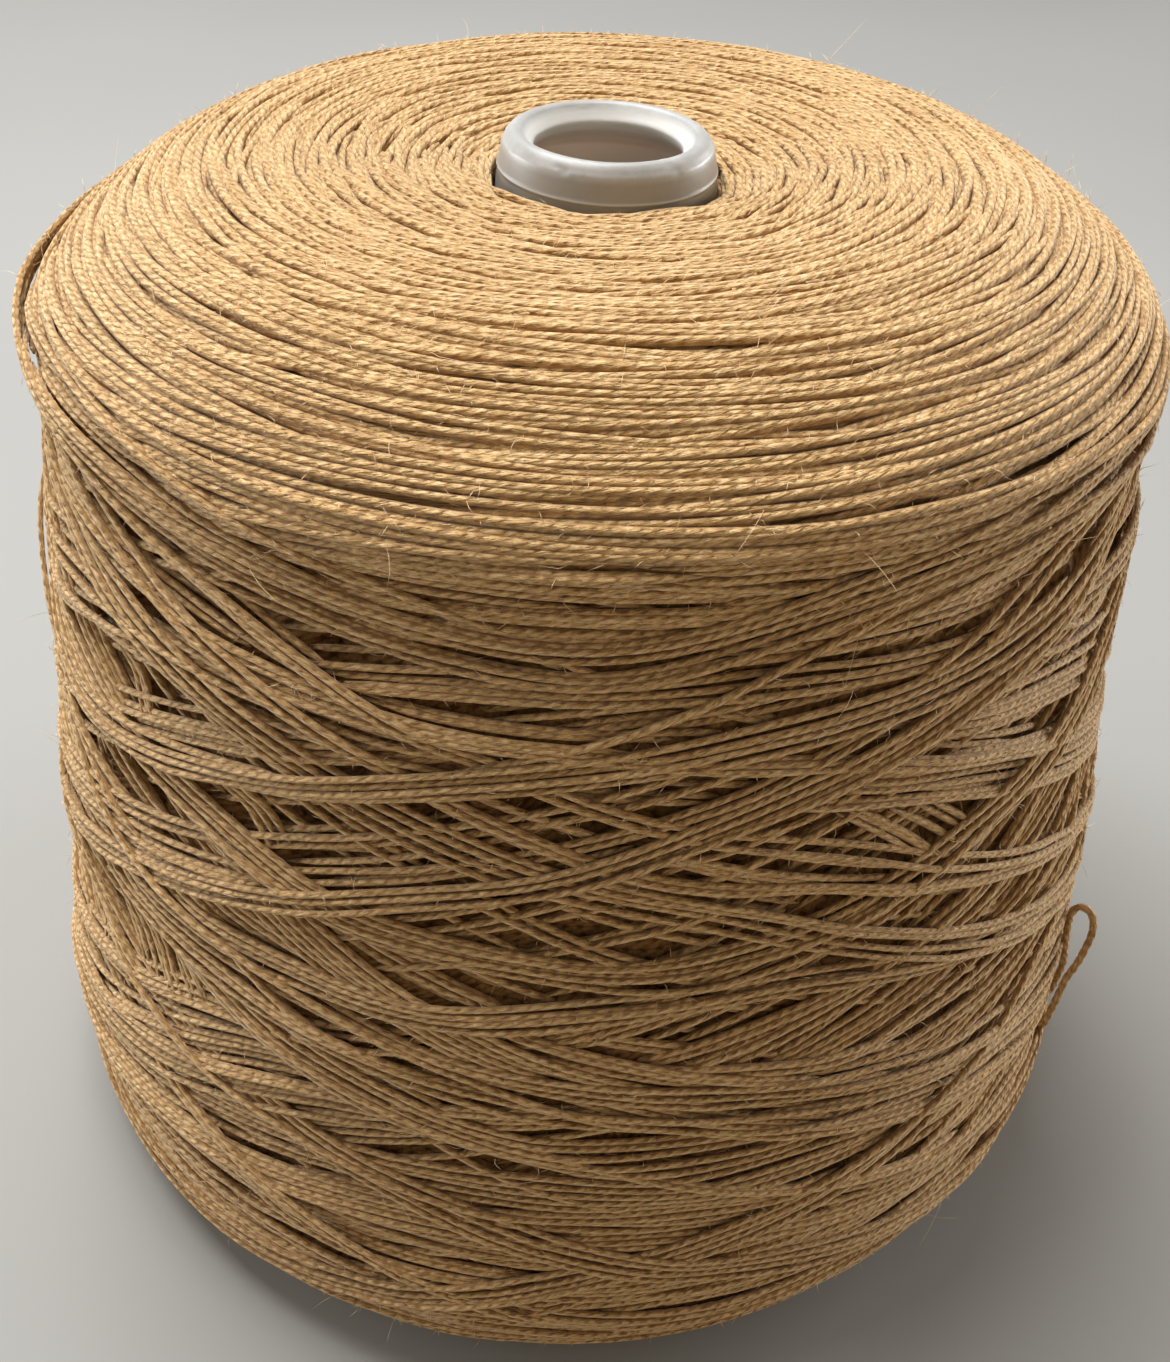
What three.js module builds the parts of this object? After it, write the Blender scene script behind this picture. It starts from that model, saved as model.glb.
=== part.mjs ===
// A cone of yarn: a package of soft two-ply yarn wound on a hollow moulded plastic cone.
// Millimetres, +Z up. The origin is on the axis, in the plane of the cone's base, on which the package stands.
// Azimuth is in degrees from -Y towards +X, so 0 faces the front and 90 the right-hand side.

import * as THREE from 'three';
import { mergeVertices } from 'three/addons/utils/BufferGeometryUtils.js';

// ---- the hollow cone ------------------------------------------------------------------------
const CORE_LENGTH = 170;            // a common length for cones of this taper
const CORE_SLOPE = 0.1042;          // tangent of the half angle, 5 degrees 57 minutes
const NOSE_EDGE_R = 15.0;           // outer edge of the rolled-in nose
const NOSE_EDGE_DROP = 1.5;         // that edge lies this far below the crest
const NOSE_CREST_R = 13.1;
const NOSE_HOLE_R = 10.63;          // the open mouth
const NOSE_HOLE_DROP = 2.2;         // the mouth's rim lies this far below the crest
const NOSE_FOOT_DROP = 4.75;        // the nose's thick ring ends in a fine step here
const NOSE_FOOT_R = 15.72;
const NOSE_STEP = 0.14;
const WALL = 2.0;                   // wall of the cone below its nose
const BASE_CHAMFER = 0.5;
const CORE_SEGMENTS = 60;

// ---- the wound yarn -------------------------------------------------------------------------
const YARN_D = 1.3;                 // thickness of the two-ply yarn
const CLEAR = 0.3;                  // between the yarn and the cone
const TOP_Z = 164.34;               // the yarn where it meets the cone, at the top
const DOME_RISE = 3.52;             // the top face swells by this much
const DOME_R = 56.0;                // radius of the dome's highest ring
const SHOULDER_R = 80.94;           // where the shoulder meets the side
const SHOULDER_Z = 151.75;
const SHOULDER_POWER = 1.37;        // 2 is a round shoulder, less is a flatter bevel
const SIDE_SLOPE = 0.1042;          // the side runs parallel to the cone's wall
const BOTTOM_Z = 5.84;              // lowest ring of the yarn
const BOTTOM_HEIGHT = 17.16;        // height of the rounded bottom corner
const BOTTOM_INSET = 4.75;          // and how far it draws in
const FOOT_RISE = 3.4;              // the underside rises by this much towards the cone
const LEAN = 0.0181 / 150;          // one side of the package was wound a little higher
const WINDING_SEGMENTS = 72;
const SIDE_ROWS = 20, SHOULDER_ROWS = 8, DOME_ROWS = 5, CORNER_ROWS = 4, FOOT_ROWS = 4;

const SHOULDER_TOP_Z = TOP_Z + DOME_RISE;
const CORNER_Z = BOTTOM_Z + BOTTOM_HEIGHT;
const BOTTOM_R = SHOULDER_R + SIDE_SLOPE * (SHOULDER_Z - CORNER_Z);

// Swellings and hollows of the package: where each is centred, how far it reaches and how high it is.
const SWELLINGS = [
  { azimuth: 288, z: 149, reach: 30, tall: 9, height: 0.9 },
  { azimuth: 290, z: 106, reach: 45, tall: 28, height: -0.7 },
  { azimuth: 70, z: 114, reach: 34, tall: 18, height: -1.1 },
  { azimuth: 70, z: 57, reach: 32, tall: 18, height: 0.6 },
  { azimuth: 335, z: 10, reach: 26, tall: 12, height: 0.8 },
  { azimuth: 27, z: 10, reach: 26, tall: 12, height: -0.7 },
  { azimuth: 112, z: 162, reach: 22, tall: 8, height: -0.7 },
  { azimuth: 160, z: 60, reach: 40, tall: 30, height: -0.5 },
  { azimuth: 215, z: 95, reach: 36, tall: 26, height: 0.5 },
];

// Main bands of strands that cross on the side. Each runs round the package as a screw line that
// climbs by "rise" in a turn and passes azimuth 0 at height "z".
const BANDS = [
  { z: 96, rise: 118, wide: 6.5, height: 0.75 },
  { z: 44, rise: 132, wide: 7.5, height: 0.65 },
  { z: 70, rise: 104, wide: 5.5, height: 0.5 },
  { z: 101, rise: -112, wide: 6.5, height: 0.7 },
  { z: 58, rise: -126, wide: 7.5, height: 0.65 },
  { z: 30, rise: -98, wide: 5.5, height: 0.5 },
];

// Where the yarn has drawn away from the nose.
const NOSE_GAP = { azimuth: 79, reach: 24, wide: 5, depth: 1.9 };

// ---- the slack loop on the right-hand side ----------------------------------------------------
const LOOP_AZIMUTH = 70;            // of the upright plane in which the loop hangs
const LOOP_STEPS = 34, LOOP_SIDES = 8;
// out: beyond the package's plain side; z: height; aside: off the plane, towards the back.
const LOOP_ROUTE = [
  { out: 0.85, z: 28.8, aside: 2.4 },
  { out: 1.45, z: 32.2, aside: 2.1 },
  { out: 2.10, z: 36.6, aside: 1.7 },
  { out: 1.95, z: 41.8, aside: 1.1 },
  { out: 1.75, z: 46.6, aside: 0.7 },
  { out: 1.85, z: 50.4, aside: 0.4 },
  { out: 2.40, z: 52.2, aside: 0.2 },
  { out: 3.30, z: 53.1, aside: 0.1 },
  { out: 4.45, z: 52.9, aside: 0.0 },
  { out: 5.40, z: 51.7, aside: -0.1 },
  { out: 5.85, z: 49.6, aside: -0.2 },
  { out: 5.80, z: 47.2, aside: -0.3 },
  { out: 5.50, z: 45.3, aside: -0.4 },
  { out: 4.60, z: 40.8, aside: -0.6 },
  { out: 3.20, z: 36.0, aside: -0.7 },
  { out: 2.45, z: 31.5, aside: -0.7 },
  { out: 1.70, z: 26.9, aside: -0.5 },
  { out: 0.80, z: 22.4, aside: -0.3 },
];

// ---- shapes -----------------------------------------------------------------------------------
const TAU = 2 * Math.PI;
const rad = (degrees) => (degrees * Math.PI) / 180;
const clamp = (v, low, high) => Math.min(high, Math.max(low, v));
// The nearest distance between two azimuths in degrees, with its sign.
const turnBetween = (a, b) => ((((a - b + 180) % 360) + 360) % 360) - 180;
const bell = (d, w) => Math.exp(-(d * d) / (w * w));

const coneR = (z) => NOSE_FOOT_R + CORE_SLOPE * (CORE_LENGTH - NOSE_FOOT_DROP - z);

// A closed ring of revolution about Z from its section, with shared vertices.
function ring(section, segments) {
  const lathe = new THREE.LatheGeometry(section.map(([r, z]) => new THREE.Vector2(r, z)), segments);
  lathe.deleteAttribute('normal');
  lathe.deleteAttribute('uv');
  lathe.rotateX(Math.PI / 2);
  return mergeVertices(lathe, 1e-4);
}

function coreGeometry() {
  const top = CORE_LENGTH;
  const foot = top - NOSE_FOOT_DROP;
  const section = [
    // outside, from the base to the nose
    [coneR(0) - BASE_CHAMFER, 0],
    [coneR(0) - 0.1, BASE_CHAMFER],
    [coneR(foot * 0.5), foot * 0.5],
    [coneR(foot) - NOSE_STEP, foot - 0.25],
    [NOSE_FOOT_R, foot],
    [NOSE_EDGE_R + 0.12, top - NOSE_EDGE_DROP - 0.5],
    [NOSE_EDGE_R, top - NOSE_EDGE_DROP],
    [NOSE_EDGE_R - 0.75, top - 0.55],
    [NOSE_CREST_R + 0.3, top],
    // into the mouth
    [NOSE_CREST_R - 0.5, top - 0.12],
    [NOSE_HOLE_R + 0.5, top - NOSE_HOLE_DROP + 0.65],
    [NOSE_HOLE_R, top - NOSE_HOLE_DROP],
    [NOSE_HOLE_R + 0.25, top - NOSE_HOLE_DROP - 1.1],
    // under the rolled lip and down the inside
    [coneR(top - 6.4) - WALL, top - 6.4],
    [coneR(foot * 0.5) - WALL, foot * 0.5],
    [coneR(0) - WALL, BASE_CHAMFER],
    [coneR(0) - WALL + 0.2, 0],
  ];
  section.push(section[0]);
  return ring(section, CORE_SEGMENTS);
}

// Section of the wound form, from the cone at the top, over the dome, shoulder and side, and back
// under the package to the cone.
function windingSection() {
  const section = [];
  const innerTop = coneR(TOP_Z) + CLEAR;
  for (let i = 0; i < DOME_ROWS; i++) {
    const t = i / DOME_ROWS;
    section.push([innerTop + (DOME_R - innerTop) * t, TOP_Z + DOME_RISE * (1 - (1 - t) ** 2)]);
  }
  for (let i = 0; i < SHOULDER_ROWS; i++) {
    const t = (i / SHOULDER_ROWS) * (Math.PI / 2);
    const e = 2 / SHOULDER_POWER;
    section.push([
      DOME_R + (SHOULDER_R - DOME_R) * Math.sin(t) ** e,
      SHOULDER_Z + (SHOULDER_TOP_Z - SHOULDER_Z) * Math.cos(t) ** e,
    ]);
  }
  for (let i = 0; i < SIDE_ROWS; i++) {
    const z = SHOULDER_Z + ((CORNER_Z - SHOULDER_Z) * i) / SIDE_ROWS;
    section.push([SHOULDER_R + SIDE_SLOPE * (SHOULDER_Z - z), z]);
  }
  for (let i = 0; i <= CORNER_ROWS; i++) {
    const t = (i / CORNER_ROWS) * (Math.PI / 2);
    section.push([BOTTOM_R - BOTTOM_INSET * (1 - Math.cos(t)), CORNER_Z - BOTTOM_HEIGHT * Math.sin(t)]);
  }
  const innerFootZ = BOTTOM_Z + FOOT_RISE;
  const innerFootR = coneR(innerFootZ) + CLEAR;
  const outerFootR = BOTTOM_R - BOTTOM_INSET;
  for (let i = 1; i <= FOOT_ROWS; i++) {
    const t = i / FOOT_ROWS;
    section.push([outerFootR + (innerFootR - outerFootR) * t, BOTTOM_Z + FOOT_RISE * t * t]);
  }
  section.push([coneR(85) + CLEAR, 85]);
  section.push(section[0]);
  return section.reverse();
}

// How far the surface stands off its plain section at an azimuth and a height.
function relief(azimuth, r, z) {
  let off = 0;
  for (const s of SWELLINGS) {
    off += s.height * bell(turnBetween(azimuth, s.azimuth), s.reach) * bell(z - s.z, s.tall);
  }
  const onSide = clamp((z - CORNER_Z) / 12, 0, 1) * clamp((SHOULDER_Z - 12 - z) / 14, 0, 1);
  for (const b of BANDS) {
    const pitch = Math.abs(b.rise);
    let d = z - b.z - (b.rise * azimuth) / 360;
    d -= pitch * Math.round(d / pitch);
    off += onSide * b.height * (bell(d, b.wide) - 0.18);
  }
  return off;
}

function windingGeometry() {
  const geometry = ring(windingSection(), WINDING_SEGMENTS);
  const p = geometry.attributes.position;
  for (let i = 0; i < p.count; i++) {
    const x = p.getX(i), y = p.getY(i), z = p.getZ(i);
    const r = Math.hypot(x, y);
    const azimuth = (Math.atan2(x, -y) * 180) / Math.PI;
    let newR = r, newZ = z;
    if (r > coneR(z) + 8) {
      // the free surface: out from the side, and up or down on the top and the underside
      const off = relief(azimuth, r, z);
      const face = z > SHOULDER_Z ? clamp((DOME_R + 22 - r) / 22, 0, 1) : 0;
      newR = r + off * (1 - face) * (z < BOTTOM_Z + 1.5 && r < BOTTOM_R - 8 ? 0 : 1);
      newZ = z + off * face;
    }
    if (z > SHOULDER_Z) {
      const gap = bell(turnBetween(azimuth, NOSE_GAP.azimuth), NOSE_GAP.reach) * bell(r - coneR(z), NOSE_GAP.wide);
      newZ -= NOSE_GAP.depth * gap;
    }
    const rising = clamp((z - 14.34) / 150, 0, 1) * 150;
    newZ += LEAN * rising * x;
    p.setXYZ(i, (x / r) * newR, (y / r) * newR, newZ);
  }
  return geometry;
}

function loopGeometry() {
  const a = rad(LOOP_AZIMUTH);
  const outward = new THREE.Vector3(Math.sin(a), -Math.cos(a), 0);
  const backward = new THREE.Vector3(Math.cos(a), Math.sin(a), 0);
  const points = LOOP_ROUTE.map(({ out, z, aside }) => {
    const side = z > CORNER_Z
      ? SHOULDER_R + SIDE_SLOPE * (SHOULDER_Z - z)
      : BOTTOM_R - BOTTOM_INSET * (1 - Math.sqrt(1 - ((CORNER_Z - z) / BOTTOM_HEIGHT) ** 2));
    return new THREE.Vector3(0, 0, z)
      .addScaledVector(outward, side + out)
      .addScaledVector(backward, aside);
  });
  const route = new THREE.CatmullRomCurve3(points, false, 'centripetal');
  const section = new THREE.Shape();
  for (let i = 0; i < LOOP_SIDES; i++) {
    const t = ((i + 0.5) / LOOP_SIDES) * TAU;
    const x = (YARN_D / 2) * Math.cos(t), y = (YARN_D / 2) * Math.sin(t);
    if (i === 0) section.moveTo(x, y);
    else section.lineTo(x, y);
  }
  section.closePath();
  return new THREE.ExtrudeGeometry(section, { steps: LOOP_STEPS, bevelEnabled: false, extrudePath: route });
}

// ---- the model --------------------------------------------------------------------------------
const plastic = new THREE.MeshStandardMaterial({ color: 0xd6d5d0, roughness: 0.45, metalness: 0 });
const yarn = new THREE.MeshStandardMaterial({ color: 0xb08d5f, roughness: 0.95, metalness: 0 });
const looseYarn = new THREE.MeshStandardMaterial({ color: 0x9c7d56, roughness: 0.95, metalness: 0 });

function part(name, geometry, material) {
  const mesh = new THREE.Mesh(geometry, material);
  mesh.name = name;
  return mesh;
}

const group = new THREE.Group();
group.add(part('core', coreGeometry(), plastic));
group.add(part('winding', windingGeometry(), yarn));
group.add(part('loose_loop', loopGeometry(), looseYarn));

export default group;
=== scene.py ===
import math

import bpy
import numpy as np
from mathutils import Matrix, Vector


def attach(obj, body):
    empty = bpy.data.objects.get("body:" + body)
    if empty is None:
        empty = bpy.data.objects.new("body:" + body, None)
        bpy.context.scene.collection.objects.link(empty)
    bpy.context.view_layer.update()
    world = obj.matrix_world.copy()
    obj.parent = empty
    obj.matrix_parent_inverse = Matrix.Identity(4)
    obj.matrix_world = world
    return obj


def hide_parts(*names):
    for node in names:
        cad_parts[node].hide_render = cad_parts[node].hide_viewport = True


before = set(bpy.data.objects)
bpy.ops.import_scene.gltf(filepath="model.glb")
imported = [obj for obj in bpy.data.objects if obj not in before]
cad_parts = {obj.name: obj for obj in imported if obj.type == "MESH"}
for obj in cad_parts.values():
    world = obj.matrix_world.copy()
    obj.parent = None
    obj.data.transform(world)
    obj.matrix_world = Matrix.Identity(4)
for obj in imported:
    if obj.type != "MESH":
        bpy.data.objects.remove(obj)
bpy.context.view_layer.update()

# A cone of two-ply yarn. Lengths are in millimetres up to the point where a mesh is made.
# Azimuth runs from -Y towards +X. "s" is the distance along the package's section: it starts at the
# nose, crosses the domed top and the shoulder, goes down the side and comes back underneath.
MM = 0.001
TAU = 2 * math.pi
rng = np.random.default_rng(5207)
scene = bpy.context.scene

# ---------------------------------------------------------------- camera
ELEVATION, ROLL = math.radians(38.4294), math.radians(3.3201)
back = Vector((0, -math.cos(ELEVATION), math.sin(ELEVATION)))
right = Vector((1, 0, 0))
up = Vector((0, math.sin(ELEVATION), math.cos(ELEVATION)))
cam_x = right * math.cos(ROLL) + up * math.sin(ROLL)
cam_y = up * math.cos(ROLL) - right * math.sin(ROLL)
camera_data = bpy.data.cameras.new("camera")
camera_data.sensor_width = 36.0
camera_data.lens = 36.0 * 1490.0 / 1362.0
camera_data.clip_start, camera_data.clip_end = 0.01, 20.0
camera = bpy.data.objects.new("camera", camera_data)
scene.collection.objects.link(camera)
place = Matrix((cam_x, cam_y, back)).transposed().to_4x4()
place.translation = Vector((1.062, -212.579, 239.53)) * MM
camera.matrix_world = place
scene.camera = camera

# ---------------------------------------------------------------- the package's section
CORE_LENGTH = 170.0
NOSE_FOOT_R, NOSE_FOOT_DROP, CORE_SLOPE = 15.72, 4.75, 0.1042
TOP_Z, DOME_RISE, DOME_R = 164.34, 3.52, 56.0
SHOULDER_R, SHOULDER_Z, SHOULDER_POWER = 80.94, 151.75, 1.37
SIDE_SLOPE = 0.1042
BOTTOM_Z, BOTTOM_HEIGHT, BOTTOM_INSET, FOOT_RISE = 5.84, 17.16, 4.75, 3.4
LEAN = 0.0181 / 150
CORNER_Z = BOTTOM_Z + BOTTOM_HEIGHT
BOTTOM_R = SHOULDER_R + SIDE_SLOPE * (SHOULDER_Z - CORNER_Z)


def core_radius(z):
    return NOSE_FOOT_R + CORE_SLOPE * (CORE_LENGTH - NOSE_FOOT_DROP - z)


def section():
    t = np.linspace(0, 1, 61)[:-1]
    rows = [np.stack([15.8 + (DOME_R - 15.8) * t, TOP_Z + DOME_RISE * (1 - (1 - t) ** 2)], 1)]
    t = np.linspace(0, 1, 82)[:-1] * math.pi / 2
    e = 2 / SHOULDER_POWER
    rows.append(np.stack([
        DOME_R + (SHOULDER_R - DOME_R) * np.sin(t) ** e,
        SHOULDER_Z + (TOP_Z + DOME_RISE - SHOULDER_Z) * np.cos(t) ** e], 1))
    t = np.linspace(0, 1, 101)[:-1]
    rows.append(np.stack([SHOULDER_R + (BOTTOM_R - SHOULDER_R) * t,
                          SHOULDER_Z + (CORNER_Z - SHOULDER_Z) * t], 1))
    t = np.linspace(0, 1, 34)[:-1] * math.pi / 2
    rows.append(np.stack([BOTTOM_R - BOTTOM_INSET * (1 - np.cos(t)),
                          CORNER_Z - BOTTOM_HEIGHT * np.sin(t)], 1))
    t = np.linspace(0, 1, 50)
    outer, inner = BOTTOM_R - BOTTOM_INSET, core_radius(BOTTOM_Z + FOOT_RISE) + 0.3
    rows.append(np.stack([outer + (inner - outer) * t, BOTTOM_Z + FOOT_RISE * t * t], 1))
    return np.concatenate(rows)


_rz = section()
_step = np.hypot(*np.diff(_rz, axis=0).T)
_s = np.concatenate([[0], np.cumsum(_step)])
S_END = float(_s[-1])
S_TAB = np.arange(0, S_END, 0.25)
R_TAB, Z_TAB = np.interp(S_TAB, _s, _rz[:, 0]), np.interp(S_TAB, _s, _rz[:, 1])


def blurred(row, reach):
    """A row of numbers smoothed by a bell curve whose width is reach steps."""
    k = np.arange(-3 * reach, 3 * reach + 1)
    w = np.exp(-0.5 * (k / reach) ** 2)
    return np.convolve(np.pad(row, 3 * reach, mode="edge"), w / w.sum(), mode="valid")


_tr, _tz = blurred(np.gradient(R_TAB, S_TAB), 6), blurred(np.gradient(Z_TAB, S_TAB), 6)
_n = np.hypot(_tr, _tz)
TR_TAB, TZ_TAB = _tr / _n, _tz / _n


def radius_at(s):
    return np.interp(s, S_TAB, R_TAB)


def bell(d, w):
    return np.exp(-(d * d) / (w * w))


def turn_between(a, b):
    return (a - b + 180.0) % 360.0 - 180.0


SWELLINGS = [  # azimuth, height, reach in degrees, reach in height, how high
    (288, 149, 30, 9, 0.9), (290, 106, 45, 28, -0.7), (70, 114, 34, 18, -1.1), (70, 57, 32, 18, 0.6),
    (335, 10, 26, 12, 0.8), (27, 10, 26, 12, -0.7), (112, 162, 22, 8, -0.7), (160, 60, 40, 30, -0.5),
    (215, 95, 36, 26, 0.5), (0, 150, 900, 6, 0.5), (0, 138, 900, 8, -1.5),
]


def relief(theta, s):
    """How far the package's surface stands off its plain section."""
    azimuth, z, r = np.degrees(theta), np.interp(s, S_TAB, Z_TAB), radius_at(s)
    off = np.zeros(np.broadcast(theta, s).shape)
    for a, h, reach, tall, height in SWELLINGS:
        off = off + height * bell(turn_between(azimuth, a), reach) * bell(z - h, tall)
    off = off * np.clip((r - core_radius(z)) / 12, 0, 1)
    gap = bell(turn_between(azimuth, 79.0), 24.0) * bell(r - core_radius(z), 5.0)
    return off - 1.9 * gap * (s < 60)


def surface(theta, s, h):
    """The point at height h over the plain section, and the direction straight out from it."""
    tr, tz = np.interp(s, S_TAB, TR_TAB), np.interp(s, S_TAB, TZ_TAB)
    r = radius_at(s) - h * tz
    z = np.interp(s, S_TAB, Z_TAB) + h * tr
    sin, cos = np.sin(theta), np.cos(theta)
    x, y = r * sin, -r * cos
    z = z + LEAN * np.clip((z - 14.34) / 150, 0, 1) * 150 * x
    return np.stack([x, y, z], -1), np.stack([-tz * sin, tz * cos, tr], -1)


# ---------------------------------------------------------------- the slack loop, a cord
YARN_D = 1.3
LAY = 4.6                      # one full twist of the two plies takes this length
LOOP_AZIMUTH = math.radians(70)
LOOP_ROUTE = [  # beyond the plain side, height, off the loop's plane towards the back
    (0.85, 28.8, 2.4), (1.45, 32.2, 2.1), (2.10, 36.6, 1.7), (1.95, 41.8, 1.1), (1.75, 46.6, 0.7),
    (1.85, 50.4, 0.4), (2.40, 52.2, 0.2), (3.30, 53.1, 0.1), (4.45, 52.9, 0.0), (5.40, 51.7, -0.1),
    (5.85, 49.6, -0.2), (5.80, 47.2, -0.3), (5.50, 45.3, -0.4), (4.60, 40.8, -0.6), (3.20, 36.0, -0.7),
    (2.45, 31.5, -0.7), (1.70, 26.9, -0.5), (0.80, 22.4, -0.3),
]


def loop_points():
    outward = np.array([math.sin(LOOP_AZIMUTH), -math.cos(LOOP_AZIMUTH), 0])
    backward = np.array([math.cos(LOOP_AZIMUTH), math.sin(LOOP_AZIMUTH), 0])
    points = []
    for out, z, aside in LOOP_ROUTE:
        if z > CORNER_Z:
            side = SHOULDER_R + SIDE_SLOPE * (SHOULDER_Z - z)
        else:
            side = BOTTOM_R - BOTTOM_INSET * (1 - math.sqrt(1 - ((CORNER_Z - z) / BOTTOM_HEIGHT) ** 2))
        points.append(np.array([0, 0, z]) + outward * (side + out) + backward * aside)
    return np.array(points), outward


def smooth_line(points, step):
    """Points a step apart on the centripetal Catmull-Rom curve through the given points."""
    p = np.vstack([2 * points[0] - points[1], points, 2 * points[-1] - points[-2]])
    line = []
    for i in range(1, len(p) - 2):
        a, b, c, d = p[i - 1], p[i], p[i + 1], p[i + 2]
        t0 = 0.0
        t1 = t0 + np.linalg.norm(b - a) ** 0.5
        t2 = t1 + np.linalg.norm(c - b) ** 0.5
        t3 = t2 + np.linalg.norm(d - c) ** 0.5
        t = np.linspace(t1, t2, 24, endpoint=False)[:, None]
        ab = (t1 - t) / (t1 - t0) * a + (t - t0) / (t1 - t0) * b
        bc = (t2 - t) / (t2 - t1) * b + (t - t1) / (t2 - t1) * c
        cd = (t3 - t) / (t3 - t2) * c + (t - t2) / (t3 - t2) * d
        abc = (t2 - t) / (t2 - t0) * ab + (t - t0) / (t2 - t0) * bc
        bcd = (t3 - t) / (t3 - t1) * bc + (t - t1) / (t3 - t1) * cd
        line.append((t2 - t) / (t2 - t1) * abc + (t - t1) / (t2 - t1) * bcd)
    line.append(p[-2][None])
    line = np.concatenate(line)
    far = np.concatenate([[0], np.cumsum(np.linalg.norm(np.diff(line, axis=0), axis=1))])
    at = np.linspace(0, far[-1], max(2, int(round(far[-1] / step)) + 1))
    return np.stack([np.interp(at, far, line[:, k]) for k in range(3)], 1), far[-1]


def mesh_object(name, verts, quads, tris=None, uv_quads=None, uv_tris=None, smooth=True):
    """A mesh object from arrays in millimetres, with shared points and one UV map for the yarn's twist."""
    tris = np.zeros((0, 3), int) if tris is None else tris
    me = bpy.data.meshes.new(name)
    me.vertices.add(len(verts))
    me.vertices.foreach_set("co", (np.asarray(verts, float) * MM).astype(np.float32).ravel())
    corners = np.concatenate([quads.ravel(), tris.ravel()]).astype(np.int32)
    sizes = np.concatenate([np.full(len(quads), 4), np.full(len(tris), 3)])
    me.loops.add(len(corners))
    me.loops.foreach_set("vertex_index", corners)
    me.polygons.add(len(sizes))
    starts = np.concatenate([[0], np.cumsum(sizes)[:-1]]).astype(np.int32)
    me.polygons.foreach_set("loop_start", starts)
    me.polygons.foreach_set("use_smooth", np.full(len(sizes), smooth))
    if uv_quads is not None:
        uv = uv_quads.reshape(-1, 2)
        if len(tris):
            uv = np.concatenate([uv, uv_tris.reshape(-1, 2)])
        layer = me.uv_layers.new(name="twist")
        layer.data.foreach_set("uv", uv.astype(np.float32).ravel())
    me.update(calc_edges=True)
    me.validate()
    obj = bpy.data.objects.new(name, me)
    scene.collection.objects.link(obj)
    return obj


def plied_cord(name, line, u_start):
    """A mesh of two plies twisted round each other, along a line of points in millimetres."""
    n = len(line)
    tangent = np.gradient(line, axis=0)
    tangent /= np.linalg.norm(tangent, axis=1)[:, None]
    side = np.zeros_like(line)
    first = np.cross(tangent[0], [0.3, 0.2, 1.0])
    side[0] = first / np.linalg.norm(first)
    for i in range(1, n):
        v = side[i - 1] - tangent[i] * np.dot(side[i - 1], tangent[i])
        side[i] = v / np.linalg.norm(v)
    other = np.cross(side, tangent)  # so that side, tangent and other turn as on the wound strands
    far = np.concatenate([[0], np.cumsum(np.linalg.norm(np.diff(line, axis=0), axis=1))])
    sides = 14
    v = np.arange(sides) / sides
    u = u_start + far / LAY
    ply = np.abs(np.sin(math.pi * 2 * (v[None] + u[:, None])))
    radius = YARN_D / 2 * (0.72 + 0.36 * ply ** 0.8)
    taper = np.clip(np.minimum(far, far[-1] - far) / 0.5, 0.25, 1)[:, None]
    a = TAU * v[None]
    ring = (line[:, None] + (radius * taper)[..., None]
            * (np.cos(a)[..., None] * side[:, None] - np.sin(a)[..., None] * other[:, None]))
    verts = np.concatenate([ring.reshape(-1, 3), line[:1], line[-1:]])
    i, k = np.meshgrid(np.arange(n - 1), np.arange(sides), indexing="ij")
    i, k = i.ravel(), k.ravel()
    nxt = (k + 1) % sides
    quads = np.stack([i * sides + k, (i + 1) * sides + k, (i + 1) * sides + nxt, i * sides + nxt], 1)
    uq = np.stack([np.stack([u[i], v[k]], 1), np.stack([u[i + 1], v[k]], 1),
                   np.stack([u[i + 1], v[k] + 1 / sides], 1), np.stack([u[i], v[k] + 1 / sides], 1)], 1)
    k = np.arange(sides)
    nxt = (k + 1) % sides
    t0 = np.stack([np.full(sides, n * sides), k, nxt], 1)
    t1 = np.stack([np.full(sides, n * sides + 1), (n - 1) * sides + nxt, (n - 1) * sides + k], 1)
    ut = np.zeros((2 * sides, 3, 2))
    ut[:, :, 0] = u[0]
    ut[:, 1, 1], ut[:, 2, 1] = np.tile(v, 2), np.tile(v, 2) + 1 / sides
    return mesh_object(name, verts, quads, np.concatenate([t0, t1]), uq, ut)


route, loop_outward = loop_points()
# The two ends run a little further than the CAD tube, into the winding.
route = np.vstack([route[0] - [0, 0, 2.6] - loop_outward * 1.9, route,
                   route[-1] - [0, 0, 2.6] - loop_outward * 1.9])
loop_line, loop_length = smooth_line(route, 0.42)
loose_loop = plied_cord("loose_loop_yarn", loop_line, 3.3)
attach(loose_loop, "root")
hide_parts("loose_loop")

# ---------------------------------------------------------------- winding the yarn on
# The package is wound strand by strand on a map of heights. Each strand lies on what is there,
# pulled taut, so that it bridges hollows and rises over the strands it crosses.
YARN_R, YARN_RV = 0.53, 0.44   # half width and half height of a strand under tension
NT, DS = 1100, 0.4
NS = int(S_END / DS) + 2
GROUND = -3.0
heights = np.full((NT, NS), GROUND)
strands = []


def read(grid, theta, s):
    i = (theta / TAU * NT) % NT
    j = np.clip(s / DS, 0, NS - 1.001)
    i0, j0 = np.floor(i).astype(int) % NT, np.floor(j).astype(int)
    fi, fj = i - np.floor(i), j - j0
    i1 = (i0 + 1) % NT
    return ((grid[i0, j0] * (1 - fj) + grid[i0, j0 + 1] * fj) * (1 - fi)
            + (grid[i1, j0] * (1 - fj) + grid[i1, j0 + 1] * fj) * fi)


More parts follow.
